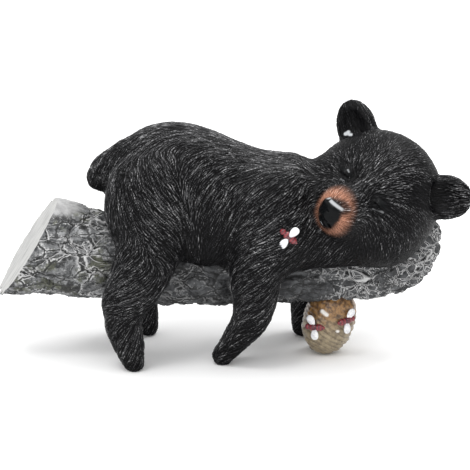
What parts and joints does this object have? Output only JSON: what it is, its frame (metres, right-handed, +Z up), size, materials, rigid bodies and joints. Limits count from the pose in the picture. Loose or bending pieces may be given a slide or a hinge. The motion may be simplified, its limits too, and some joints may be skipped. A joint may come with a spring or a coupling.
{
  "type": "bear figurine",
  "caption": "Cast figurine of a black bear cub asleep over a sawn branch, its head turned to the front, with a beehive hung below and bees on hive and shoulder.",
  "frame": {"origin": "middle of the casting's footprint, on the ground that its paws and the foot of the hive stand on", "axes": "+X along the branch towards the cub's head, -Y to the front, where the face looks, +Z up"},
  "size_m": [0.2516, 0.087, 0.1362],
  "materials": {
    "painted_resin": "hand-painted cast resin with a soft sheen: black fur with grey dry-brushed locks, tan muzzle, grey bark, straw-coloured hive, red bees with white wings"
  },
  "bodies": {
    "root": {"bear_figurine": "painted_resin"}
  },
  "joints": []
}
